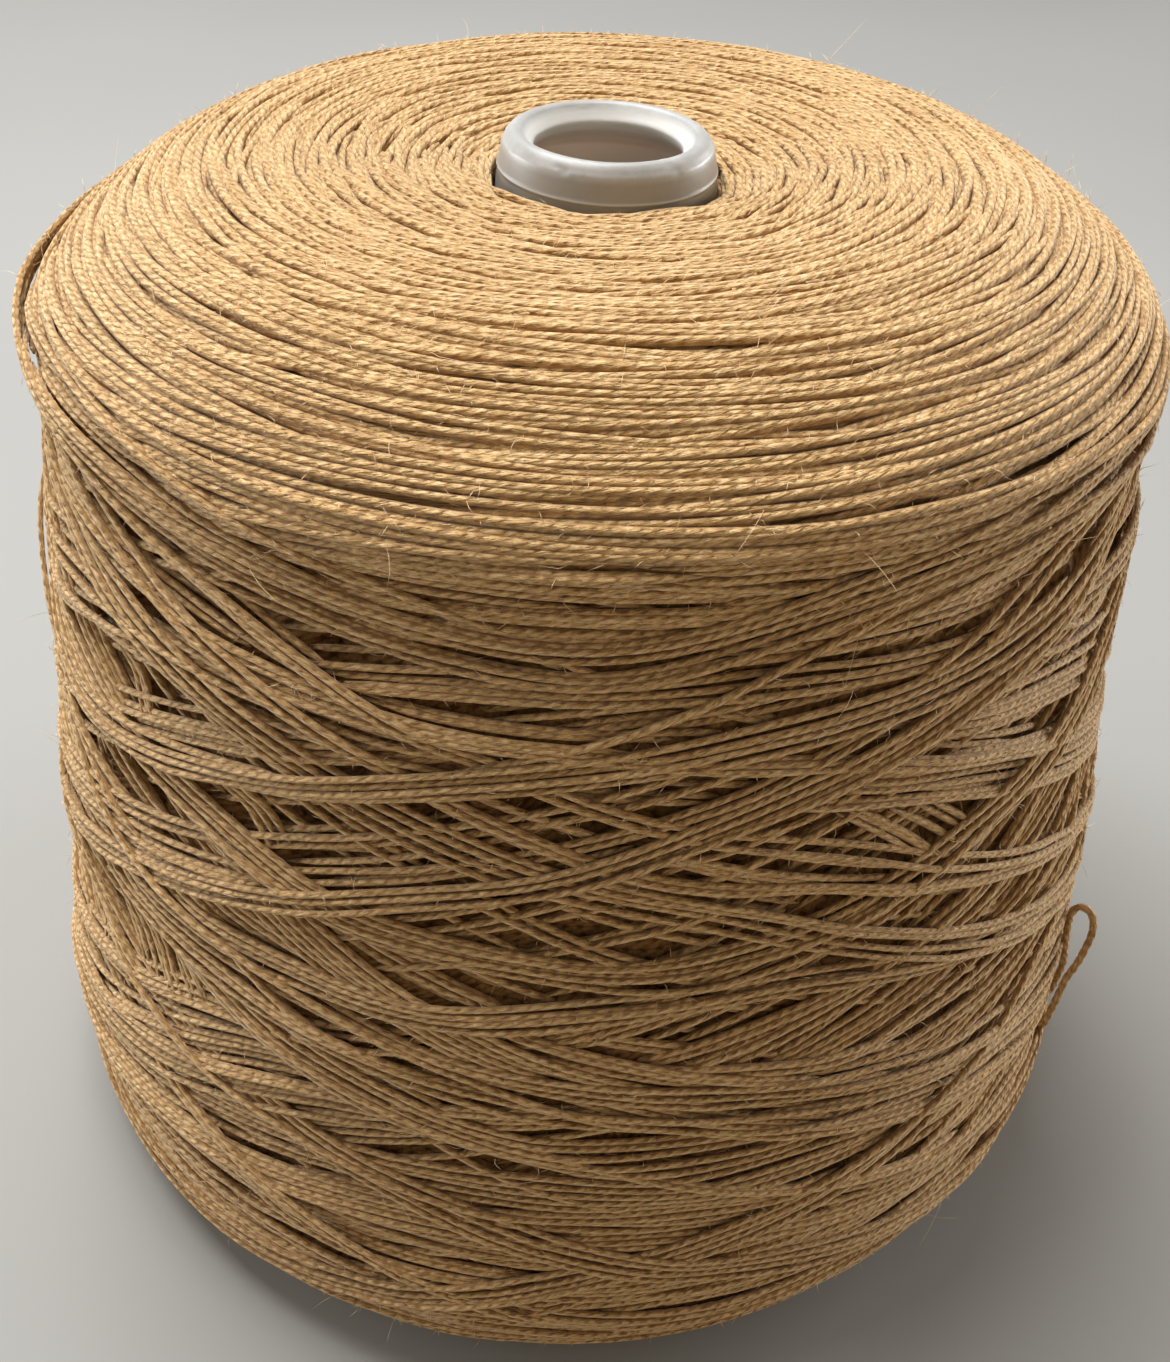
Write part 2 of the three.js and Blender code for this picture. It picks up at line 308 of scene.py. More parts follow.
def taut(x, c, bend, mix):
    """Heights of a taut strand over the heights c: it wraps round a body of that bending radius."""
    g = c - x * x / (2 * bend)
    xs, gs, top = x.tolist(), g.tolist(), []
    for i in range(len(xs)):
        while len(top) > 1:
            a, b = top[-2], top[-1]
            if (gs[b] - gs[a]) * (xs[i] - xs[a]) <= (gs[i] - gs[a]) * (xs[b] - xs[a]):
                top.pop()
            else:
                break
        top.append(i)
    string = np.interp(x, x[top], g[top]) + x * x / (2 * bend)
    return mix * string + (1 - mix) * c


OFFSETS = np.array([-0.42, -0.22, 0.0, 0.22, 0.42])
PROFILE = YARN_RV * np.sqrt(1 - (OFFSETS / YARN_R) ** 2)


def across(theta, s):
    """Unit direction across a strand, as a change of azimuth and of s for each millimetre."""
    r = radius_at(s)
    a, b = np.gradient(theta) * r, np.gradient(s)
    n = np.hypot(a, b) + 1e-9
    return -b / n / r, a / n


def lay(theta, s, bend=90.0, mix=0.8, sink=0.2, lift=None, target=None, reach=None, fat=1.0):
    """Lays one strand. theta and s are its route. lift raises it or lets its ends dive; a strand with a
    target keeps to that height and rises over what is there by no more than reach."""
    theta, s = np.asarray(theta, float), np.asarray(s, float)
    s = np.clip(s, 0.9, S_END - 0.9)
    far = np.concatenate([[0], np.cumsum(np.hypot(np.diff(theta) * radius_at(s[1:]), np.diff(s)))])
    n = max(6, int(far[-1] / 1.2))
    x = np.linspace(0, far[-1], n)
    theta, s = np.interp(x, far, theta), np.interp(x, far, s)
    lift = np.zeros(n) if lift is None else np.interp(x, np.linspace(0, far[-1], len(lift)), lift)
    dt, dsn = across(theta, s)
    under = np.max([read(heights, theta + dt * o, s + dsn * o) + p for o, p in zip(OFFSETS, PROFILE)], axis=0)
    if target is None:
        # a strand gives way rather than bridging a deep hollow
        c = taut(x, under - sink, bend, 1.0)
        c = np.minimum(c, blurred(under - sink, 7) + 0.7)
        c = blurred(c, 3)
    else:
        aim = np.interp(x, np.linspace(0, far[-1], len(target)), target)
        c = np.clip(under - sink, aim, aim + reach)
        c = blurred(taut(x, c, bend, mix), 2)
    c = c + lift
    strands.append((theta, s, c, fat))
    fine = max(0.09, 0.8 * float(radius_at(s).min()) * TAU / NT)
    m = max(8, int(far[-1] / min(fine, 0.4)))
    xf = np.linspace(0, far[-1], m)
    tf, sf, cf = np.interp(xf, x, theta), np.interp(xf, x, s), np.interp(xf, x, c)
    df, nf = np.interp(xf, x, dt), np.interp(xf, x, dsn)
    for o in np.linspace(-0.5, 0.5, 7):
        i = np.round((tf + df * o) / TAU * NT).astype(int) % NT
        j = np.clip(np.round((sf + nf * o) / DS).astype(int), 0, NS - 1)
        np.maximum.at(heights, (i, j), cf + YARN_RV * math.sqrt(1 - (o / YARN_R) ** 2))


def wander(n, size, reach):
    """A slow random wave of about that size, over n points."""
    k = max(2, int(n / reach) + 2)
    return np.interp(np.linspace(0, k - 1, n), np.arange(k), rng.normal(0, size, k))


def ends_dive(n, total, run=14.0, depth=3.0):
    """Lets both ends of a strand go under over the last millimetres of its length."""
    x = np.linspace(0, total, n)
    d = np.minimum(x, total - x)
    return -depth * np.clip(1 - d / run, 0, 1) ** 1.6


# Strokes from shoulder to foot and back. A full stroke both ways takes two turns.
def stroke(start, turns, top, low, shift=0.0, part=(0.0, 1.0)):
    t = np.linspace(part[0], part[1], int(500 * (part[1] - part[0])) + 8)
    s = (top + low) / 2 - (low - top) / 2 * np.cos(TAU * t)
    theta = start + TAU * turns * t
    return theta, s + shift


def ribbon(start, count, turns, top, low, gap, part=(0.0, 1.0), sign=1, **how):
    for i in range(count):
        jog = (i - (count - 1) / 2) * gap
        slip = jog / (0.345 * 87.0) * sign
        th, s = stroke(start + slip + rng.normal(0, 0.002), turns, top + rng.normal(0, 0.7) + 0.9 * jog,
                       low + rng.normal(0, 0.7) + 0.9 * jog, 0.0, part)
        s = s + wander(len(s), 0.35, 25)
        lay(th, s, **how)


def grid_blur(grid, round_cells, along_cells):
    g = np.fft.rfft(grid, axis=0)
    f = np.arange(g.shape[0])[:, None] / grid.shape[0]
    g = np.fft.irfft(g * np.exp(-2 * (math.pi * f * round_cells) ** 2), n=grid.shape[0], axis=0)
    padded = np.concatenate([g[:, ::-1], g, g[:, ::-1]], axis=1)
    h = np.fft.rfft(padded, axis=1)
    f = np.arange(h.shape[1])[None] / padded.shape[1]
    h = np.fft.irfft(h * np.exp(-2 * (math.pi * f * along_cells) ** 2), n=padded.shape[1], axis=1)
    return h[:, grid.shape[1]:2 * grid.shape[1]]


def even_out(round_cells, along_cells, level):
    """A package is wound so that it grows evenly: what is laid so far is brought to one level."""
    global heights
    extra = grid_blur(heights, round_cells, along_cells) - level
    heights = heights - extra
    for k, (theta, s, c, fat) in enumerate(strands):
        strands[k] = (theta, s, c - read(extra, theta, s), fat)


# First the older strokes, which show in the gaps of the last ones.
for k in range(36):
    start = TAU * (k * 0.618034 + rng.uniform(-0.02, 0.02))
    ribbon(start, int(rng.integers(3, 7)), 2.0 * (1 + rng.normal(0, 0.01)), rng.uniform(56, 82),
           rng.uniform(190, 220), rng.uniform(1.05, 1.5), sink=0.3)
    if k == 17:
        even_out(18, 14, -2.2)
even_out(18, 14, -1.6)


# Rows that turn back at the nose end, from the nose outwards, and the same under the package.
def turn_row(crest, theta, top, bendy=0.7, stretch=1.0, droop=0.75, level=-0.55, reach=0.25, lean=0.04,
             fat=1.2):
    r = float(radius_at(crest))
    kappa = bendy * 70.0 / (4 * r * r)
    half = math.sqrt(3.2 / kappa) * rng.uniform(0.85, 1.5) * stretch
    x = np.linspace(-half, half, 40)
    fall = kappa * x * x / 2
    off = x * rng.normal(0, lean) + wander(40, 0.2, 9)
    s = crest + (fall if top else -fall) + off
    target = level + rng.normal(0, 0.07) - droop * fall + wander(40, 0.05, 8)
    lay(theta + x / radius_at(np.clip(s, 1, S_END - 1)), s, bend=260.0, mix=0.75, sink=0.28,
        target=target, reach=reach, fat=fat * rng.uniform(0.92, 1.1),
        lift=ends_dive(40, 2 * half, min(9.0, 0.45 * half), 1.5))
    return half


def rows(first, last, step, top, cover=1.15, jitter=0.18, **how):
    crest = first
    while (crest < last) if top else (crest > last):
        r = float(radius_at(crest))
        theta, end = rng.uniform(0, TAU), 0.0
        while end < TAU * r * cover:
            half = turn_row(crest + rng.normal(0, jitter), theta, top, **how)
            move = half * rng.uniform(1.1, 1.7)
            theta, end = theta + move / r, end + move
        crest += step if top else -step


rows(1.0, 66.0, 0.95, True, cover=1.15, level=-1.05, droop=0.45, lean=0.05, fat=1.1)
rows(1.5, 58.0, 1.45, True, cover=1.1, level=-0.75, droop=0.6, lean=0.06, fat=1.15)
rows(S_END - 1.0, 210.0, 1.1, False, cover=1.05, level=-1.0, droop=0.45, lean=0.05, fat=1.0)
rows(1.0, 50.0, 1.12, True, cover=1.15, bendy=0.5)
rows(S_END - 1.0, 222.0, 1.25, False, cover=1.08)
rows(50.0, 86.0, 1.06, True, cover=1.25, jitter=0.1, stretch=1.1, bendy=0.33, droop=0.65, reach=0.4, lean=0.018, fat=1.05)
rows(222.0, 186.0, 1.15, False, cover=1.15, stretch=1.6, bendy=0.55, droop=0.55, reach=0.5, fat=1.03)
even_out(30, 22, -0.6)

# The last strokes: bundles as they lie on the photographed side, each with a name, its route as x (azimuth times 87)
# and s, then how many strands and how far apart.
BUNDLES = [
    ("b18", [(-14, 176), (0, 175.5), (20, 175), (42, 176)], 5, 1.9),
    ("b19", [(-50, 187), (-40, 185.5), (-30, 184), (-10, 183), (10, 184)], 4, 1.5),
    ("b19b", [(-35, 190.5), (-28, 193.5), (-22, 196.5), (-10, 200)], 2, 1.4),
    ("b19c", [(-8, 198), (5, 193), (18, 188.5), (32, 184.5)], 3, 1.7),
    ("b19d", [(-5, 184), (10, 189), (22, 193), (36, 197)], 3, 1.8),
    ("b16", [(-76, 167), (-70, 165), (-60, 160.5), (-50, 157.5), (-36, 154)], 4, 1.6),
    ("b16b", [(-66, 173), (-60, 170), (-50, 164), (-40, 160), (-30, 158), (-14, 156)], 5, 1.7),
    ("b16c", [(-80, 182), (-60, 176), (-45, 169), (-30, 164), (-10, 160), (10, 158)], 4, 1.9),
    ("b16d", [(-30, 158), (-10, 163), (10, 167), (30, 168), (50, 165), (70, 160)], 4, 1.6),
    ("b15b", [(-30, 143.5), (-15, 146), (0, 149), (10, 150.5), (20, 151), (30, 153.5), (40, 156), (60, 156), (75, 154.5)], 3, 1.5),
    ("b14", [(-45, 135), (-30, 138), (-20, 140), (-6, 144)], 3, 1.5),
    ("b10", [(-95, 101), (-82, 109), (-68, 117), (-52, 126), (-40, 132)], 5, 1.5),
    ("b6", [(38, 91.5), (55, 91.5), (70, 92), (92, 93)], 5, 1.35),
    ("b4", [(-10, 89.5), (0, 89), (20, 88.5), (40, 90), (60, 91), (90, 91)], 3, 1.35),
    ("b3", [(-80, 88), (-60, 90), (-45, 92), (-35, 94.5), (-25, 95.5), (0, 96), (20, 96.5)], 4, 1.4),
    ("b2", [(-75, 79), (-60, 80.5), (-40, 83), (-20, 85.5), (0, 86.5), (10, 85.5), (20, 83), (30, 80.5), (45, 78.5), (60, 77.5), (80, 77)], 5, 1.3),
    ("b5", [(-55, 97), (-20, 97.8), (0, 98.5), (20, 100.5), (30, 102), (40, 104.5), (50, 107.5), (60, 111), (70, 115), (80, 119)], 7, 1.45),
    ("b15", [(-52, 147), (-40, 147.5), (-30, 149), (-20, 151), (-10, 152.5), (0, 154), (14, 156)], 5, 1.9),
    ("b13", [(-90, 143), (-70, 140), (-50, 141.5), (-30, 141), (-12, 141), (0, 138.5), (12, 137), (24, 135.8), (34, 136.5), (48, 140), (60, 144), (72, 148)], 3, 1.5),
    ("b12", [(-80, 134), (-68, 130), (-55, 126.5), (-50, 124.5), (-38, 120)], 2, 1.4),
    ("b12b", [(-72, 136), (-60, 133), (-50, 130), (-42, 128.5), (-30, 124)], 3, 1.5),
    ("b11", [(-75, 117.5), (-62, 119), (-55, 120.5), (-45, 123), (-35, 127), (-28, 129), (-20, 130), (-10, 130.5), (0, 131.5), (10, 132.5), (20, 131.5), (35, 128.5), (50, 125), (60, 121.5), (72, 118.5)], 4, 1.4),
    ("b9", [(-55, 100), (-48, 102), (-40, 105), (-33, 107.5), (-26, 110.5), (-18, 112), (-10, 114.5), (0, 117), (10, 120), (20, 122.5), (28, 125.5), (35, 128.5), (50, 136)], 3, 1.9),
    ("b9b", [(0, 112), (8, 115.5), (20, 119), (33, 120), (48, 126)], 2, 2.0),
    ("b9c", [(12, 107.5), (20, 110.5), (30, 113.5), (40, 117.5), (45, 119.5), (60, 127)], 2, 1.8),
    ("b8", [(-46, 132), (-30, 126.5), (-20, 122.5), (-10, 119.5), (0, 116.5), (10, 111.5), (20, 107.5), (28, 105), (35, 103.5), (52, 99)], 3, 1.35),
    ("b14c", [(-66, 139), (-60, 140.5), (-50, 142), (-45, 143), (-35, 144.5), (-20, 149)], 1, 1.3),
    ("b17", [(-80, 161), (-70, 165.5), (-62, 168.5), (-50, 171.5), (-40, 173.5), (-30, 176), (-20, 178.5), (-12, 180.3), (-5, 181), (10, 181), (25, 180.5), (35, 180), (45, 178.5), (52, 176), (60, 173), (70, 170), (80, 166.5), (95, 161)], 1, 1.3),
    ("b7b", [(-90, 119.5), (-75, 116), (-60, 114), (-50, 111.5), (-40, 109), (-35, 107.5), (-22, 103)], 1, 1.3),
    ("b7", [(-90, 121.5), (-70, 119), (-60, 116.5), (-50, 113.5), (-40, 110.5), (-30, 107), (-20, 103.5), (-10, 101), (0, 99), (15, 96.5), (30, 95.5), (45, 95)], 3, 1.3),
]


def slope_of_stroke(s, downward):
    """How steeply a stroke runs at s: level where it turns back, steepest half way."""
    f = np.clip((139.0 - s) / 72.0, -0.999, 0.999)
    return (1 if downward else -1) * 0.385 * math.sqrt(1 - f * f)


def run_on(x, s, slope, far, step=3.0):
    """Carries a route on from its end, bending it into the slope that a stroke has there."""
    downward = slope > 0
    if abs(slope) < 0.03:
        downward = s < 125
    xs, ss, gone = [], [], 0.0
    way = 1 if far > 0 else -1
    while gone < abs(far):
        w = math.exp(-gone / 35.0)
        if s > 208:
            downward = False
        if s < 70:
            downward = True
        k = slope * w + slope_of_stroke(s, downward) * (1 - w)
        x, s, gone = x + way * step, s + k * step, gone + step
        xs.append(x)
        ss.append(s)
    return xs, ss


def lay_bundle(points, count, gap, turn=0.0, mirror=False, lower=0.0, slack=None, ext=(60, 220)):
    p = np.array(points, float)
    if mirror:
        p = np.stack([-p[::-1, 0], p[::-1, 1]], 1)
    p[:, 1] += lower
    gap, count = gap * 0.79, count if count < 3 else int(round(count * 1.26))
    left_slope = (p[0, 1] - p[1, 1]) / (p[1, 0] - p[0, 0])
    right_slope = (p[-1, 1] - p[-2, 1]) / (p[-1, 0] - p[-2, 0])
    for i in range(count):
        jog = (i - (count - 1) / 2) * gap
        lx, ls = run_on(p[0, 0], p[0, 1], left_slope, -rng.uniform(*ext))
        rx, rs = run_on(p[-1, 0], p[-1, 1], right_slope, rng.uniform(*ext))
        x = np.concatenate([lx[::-1], p[:, 0], rx])
        s = np.concatenate([ls[::-1], p[:, 1], rs])
        fine = np.linspace(x[0], x[-1], int((x[-1] - x[0]) / 2.5))
        s = np.interp(fine, x, s)
        s = blurred(s, 3)
        slope = np.gradient(s, fine)
        # the strands of a bundle spread and close a little along the way
        spread = (jog * (1 + wander(len(fine), 0.22, 26)) + wander(len(fine), 0.3, 22)
                  + rng.normal(0, 0.006) * (fine - fine[len(fine) // 2]))
        s = s + spread * np.sqrt(1 + slope ** 2)
        total = fine[-1] - fine[0]
        lift = ends_dive(len(fine), total)
        if slack and i == count - 1:
            lift = lift + slack[2] * bell(fine - slack[0], slack[1])
        theta = turn + fine / 87.0
        lay(theta, s, sink=0.2, lift=lift, fat=1.06 if count < 4 else 0.99)


for name, points, count, gap in BUNDLES:
    for turn, mirror in ((math.radians(122), True), (math.radians(-124), False)):
        lay_bundle(points, count, gap * rng.uniform(0.95, 1.15), turn + rng.normal(0, 0.12), mirror,
                   rng.normal(0, 4.0), ext=(20, 90))
for name, points, count, gap in BUNDLES:
    slack = (-108.0, 9.0, 1.3) if name == "b7" else None
    if name == "b7":
        points = [(-122, 97), (-115, 103), (-107, 111.5), (-98, 118.5)] + points
    lay_bundle(points, count, gap, slack=slack)

# ---------------------------------------------------------------- settling the surface on the section


def press_down(round_cells, along_cells, above, share):
    """Hills where many strands cross are pressed down by the ones wound over them."""
    global heights
    extra = share * np.maximum(grid_blur(heights, round_cells, along_cells) - above, 0)
    heights = heights - extra
    for k, (theta, s, c, fat) in enumerate(strands):
        strands[k] = (theta, s, c - read(extra, theta, s), fat)


even_out(55, 40, 0.0)
press_down(12, 10, 0.5, 0.85)
press_down(6, 5, 0.7, 0.9)
# No strand stands far off its neighbours, but for the slack stretch of the one laid last.
mean_level = grid_blur(heights, 8, 7)
wide_level = grid_blur(heights, 40, 30)


def left_shoulder(theta, s):
    """How high a strand may lie over the wide level: least on the left shoulder, on the outline."""
    x = ((theta + np.pi) % TAU - np.pi) * 87
    return -0.15 + 3.0 * (1 - np.exp(-((x + 160) / 48) ** 4 - ((s - 76) / 22) ** 4))


heights = np.minimum(heights, mean_level + 0.7 + YARN_RV)
heights = np.minimum(heights, wide_level + YARN_RV + left_shoulder(
    np.arange(NT)[:, None] / NT * TAU, np.arange(NS)[None, :] * DS))
for k, (theta, s, c, fat) in enumerate(strands):
    allowed = np.full(len(s), 0.7)
    if k >= len(strands) - 4:  # the last bundle hugs the shoulder that it comes over
        allowed -= 0.75 * np.clip((97 - s) / 6, 0, 1)
    if k == len(strands) - 1:
        allowed += 1.3 * bell(theta * 87 + 108, 9)
    c = np.minimum(c, read(mean_level, theta, s) + allowed)
    c = np.minimum(c, read(wide_level, theta, s) + left_shoulder(theta, s))
    strands[k] = (theta, s, blurred(c, 1), fat)
LEVEL = 0.1  # the strands' tops lie about here over the section


def settle(theta, s, c):
    return c + LEVEL + relief(theta, s) - 0.35


# Where the older strokes leave a bare hollow, a few more strands lie on its ground.
fill = np.random.default_rng(77)
bare = grid_blur((heights < -2.3).astype(float), 6, 5)
ground = grid_blur(heights, 5, 4)
for start in np.arange(0, TAU, 2.2 / 90):
    s = np.arange(96.0, 208.0, 0.73)
    theta = start + fill.normal(0, 0.004) + (s - 96) * 0.0143 + 0.01 * np.sin(s / 17 + fill.uniform(0, TAU))
    c = blurred(read(ground, theta, s) + 0.45, 2)
    low = read(bare, theta, s) > 0.4
    edges = np.flatnonzero(np.diff(np.concatenate([[0], low.astype(int), [0]])))
    for a, b in zip(edges[::2], edges[1::2]):
        a, b = max(a - 3, 0), min(b + 3, len(s))
        if b - a >= 11:
            strands.append((theta[a:b], s[a:b], c[a:b], 1.0))

# Runs of a strand that others bury are left out.
runs = []
for theta, s, c, fat in strands:
    dt, dsn = across(theta, s)
    seen = np.zeros(len(s), bool)
    for o, p in zip(OFFSETS, PROFILE):
        seen |= read(heights, theta + dt * o, s + dsn * o) <= c + p + 0.28
    near = seen.copy()
    for k in range(1, 5):
        near[k:] |= seen[:-k]
        near[:-k] |= seen[k:]
    edges = np.flatnonzero(np.diff(np.concatenate([[0], near.astype(int), [0]])))
    for a, b in zip(edges[::2], edges[1::2]):
        if b - a >= 6:
            runs.append((theta[a:b], s[a:b], c[a:b], fat))

SIDES = 6
ANGLES = TAU * np.arange(SIDES) / SIDES


def tube(theta, s, c):
    """Rings of points, their distance along the strand, for one run of yarn."""
    h = settle(theta, s, c)
    h[1:-1] = (h[:-2] + 2 * h[1:-1] + h[2:]) / 4
    p, n = surface(theta, s, h)
    d = np.diff(p, axis=0)
    length = np.linalg.norm(d, axis=1)
    d /= length[:, None]
    turn = np.concatenate([[0], np.arccos(np.clip((d[1:] * d[:-1]).sum(1), -1, 1)), [0]])
    cost = np.cumsum(turn / 0.17 + np.concatenate([[0], length]) / 8.0)
    keep = np.concatenate([[True], np.floor(cost[1:]) > np.floor(cost[:-1])])
    keep[-1] = True
    keep[-2] = keep[-2] and len(keep) < 4
    far = np.concatenate([[0], np.cumsum(length)])[keep]
    t = np.gradient(p, axis=0)[keep]
    t /= np.linalg.norm(t, axis=1)[:, None]
    p, n = p[keep], n[keep]
    n = n - t * (n * t).sum(1)[:, None]
    n /= np.linalg.norm(n, axis=1)[:, None]
    b = np.cross(n, t)
    return p, n, b, t, far


def yarn_piece(name, chosen):
    verts, quads, tris, uvq, uvt, count = [], [], [], [], [], 0
    v = np.arange(SIDES) / SIDES
    for theta, s, c, size in chosen:
        p, n, b, t, far = tube(theta, s, c)
        m = len(p)
        slubs = max(3, int(far[-1] / 14))
        fat = size + np.interp(far, np.linspace(0, far[-1] + 1e-6, slubs), rng.normal(0, 0.055, slubs))
        fat = fat * np.clip(0.3 + np.minimum(far, far[-1] - far) / 3.0, 0.3, 1.0)
        ring = (p[:, None] + (fat[:, None, None] * (YARN_R * np.cos(ANGLES)[None, :, None] * b[:, None]
                                                    + YARN_RV * 1.12 * np.sin(ANGLES)[None, :, None] * n[:, None])))
        tips = np.stack([p[0] - t[0] * 0.35, p[-1] + t[-1] * 0.35])
        verts.append(np.concatenate([ring.reshape(-1, 3), tips]))
        u = rng.uniform(0, 400) + far / LAY
        i, k = np.meshgrid(np.arange(m - 1), np.arange(SIDES), indexing="ij")
        i, k = i.ravel(), k.ravel()
        nxt = (k + 1) % SIDES
        quads.append(count + np.stack([i * SIDES + k, (i + 1) * SIDES + k, (i + 1) * SIDES + nxt, i * SIDES + nxt], 1))
        uvq.append(np.stack([np.stack([u[i], v[k]], 1), np.stack([u[i + 1], v[k]], 1),
                             np.stack([u[i + 1], v[k] + 1 / SIDES], 1), np.stack([u[i], v[k] + 1 / SIDES], 1)], 1))
        k = np.arange(SIDES)
        nxt = (k + 1) % SIDES
        tris.append(count + np.concatenate([
            np.stack([np.full(SIDES, m * SIDES), k, nxt], 1),
            np.stack([np.full(SIDES, m * SIDES + 1), (m - 1) * SIDES + nxt, (m - 1) * SIDES + k], 1)]))
        ut = np.zeros((2 * SIDES, 3, 2))
        ut[:, :, 0] = u[0]
        ut[SIDES:, :, 0] = u[-1]
        ut[:SIDES, 0, 1], ut[:SIDES, 1, 1], ut[:SIDES, 2, 1] = v, v, v + 1 / SIDES
        ut[SIDES:, 0, 1], ut[SIDES:, 1, 1], ut[SIDES:, 2, 1] = v, v + 1 / SIDES, v
        uvt.append(ut)
        count += m * SIDES + 2
    obj = mesh_object(name, np.concatenate(verts), np.concatenate(quads), np.concatenate(tris),
                      np.concatenate(uvq), np.concatenate(uvt))
    total = 2 * sum(len(q) for q in quads) + sum(len(q) for q in tris)
    return obj, total


runs.sort(key=lambda run: float(run[1].mean()))
weight = np.cumsum([len(run[1]) for run in runs])
NAMES = ["yarn_face", "yarn_shoulder", "yarn_side_high", "yarn_side_low", "yarn_foot", "yarn_underside"]
yarn_pieces, total_triangles = [], 0
for k, name in enumerate(NAMES):
    low, high = weight[-1] * k / len(NAMES), weight[-1] * (k + 1) / len(NAMES)
    chosen = [run for run, w in zip(runs, weight) if low < w <= high]
    obj, triangles = yarn_piece(name, chosen)
    total_triangles += triangles
    print(name, len(chosen), "runs", triangles, "triangles")
    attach(obj, "root")
    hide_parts("winding")
    yarn_pieces.append(obj)
print("yarn in all", total_triangles, "runs", len(runs), "metres", float(weight[-1]) * 1.2 / 1000)

# ---------------------------------------------------------------- the wound body under the strands
low_map = heights.copy()
for axis, reach in ((0, 3), (1, 3)):
    base = low_map.copy()
    for k in range(1, reach + 1):
        if axis == 0:
            low_map = np.minimum(low_map, np.minimum(np.roll(base, k, 0), np.roll(base, -k, 0)))
        else:
            low_map[:, k:] = np.minimum(low_map[:, k:], base[:, :-k])
            low_map[:, :-k] = np.minimum(low_map[:, :-k], base[:, k:])
low_map = grid_blur(low_map, 1.5, 1.5)
BT = 280
bt = TAU * np.arange(BT) / BT
bs = np.concatenate([[0.35], np.arange(2.0, S_END - 1.5, 2.4), [S_END - 0.4]])
tt, ss = np.meshgrid(bt, bs, indexing="ij")
hh = settle(tt, ss, read(low_map, tt, ss)) - 0.35
hh = np.minimum(hh, -0.75 + relief(tt, ss))
hh[:, 0] -= 0.6
hh[:, -1] -= 0.6
grid_points, _ = surface(tt, ss, hh)
wall_z = np.linspace(12.0, 161.0, 9)
wall = np.stack([np.outer(np.sin(bt), core_radius(wall_z) + 0.35), -np.outer(np.cos(bt), core_radius(wall_z) + 0.35),
                 np.broadcast_to(wall_z, (BT, len(wall_z)))], -1)
allp = np.concatenate([grid_points, wall], axis=1)
W = allp.shape[1]
i, k = np.meshgrid(np.arange(BT), np.arange(W), indexing="ij")
i, k = i.ravel(), k.ravel()
ni, nk = (i + 1) % BT, (k + 1) % W
body_quads = np.stack([i * W + k, i * W + nk, ni * W + nk, ni * W + k], 1)
row_at = np.concatenate([bs, np.full(len(wall_z), bs[-1]), bs[:1]]) / 1.15
round_at = radius_at(np.concatenate([bs, np.full(len(wall_z) + 1, bs[0])])) / LAY
body_uv = np.stack([np.stack([bt[i] * round_at[k], row_at[k]], 1), np.stack([bt[i] * round_at[k + 1], row_at[k + 1]], 1),
                    np.stack([(bt[i] + TAU / BT) * round_at[k + 1], row_at[k + 1]], 1),
                    np.stack([(bt[i] + TAU / BT) * round_at[k], row_at[k]], 1)], 1)
wound_body = mesh_object("wound_body", allp.reshape(-1, 3), body_quads, uv_quads=body_uv)
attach(wound_body, "root")
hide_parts("winding")

# ---------------------------------------------------------------- stray fibres


every_theta = np.concatenate([run[0] for run in runs])
every_s = np.concatenate([run[1] for run in runs])
every_c = np.concatenate([run[2] for run in runs])
last_of_run = np.cumsum([len(run[1]) for run in runs]) - 1


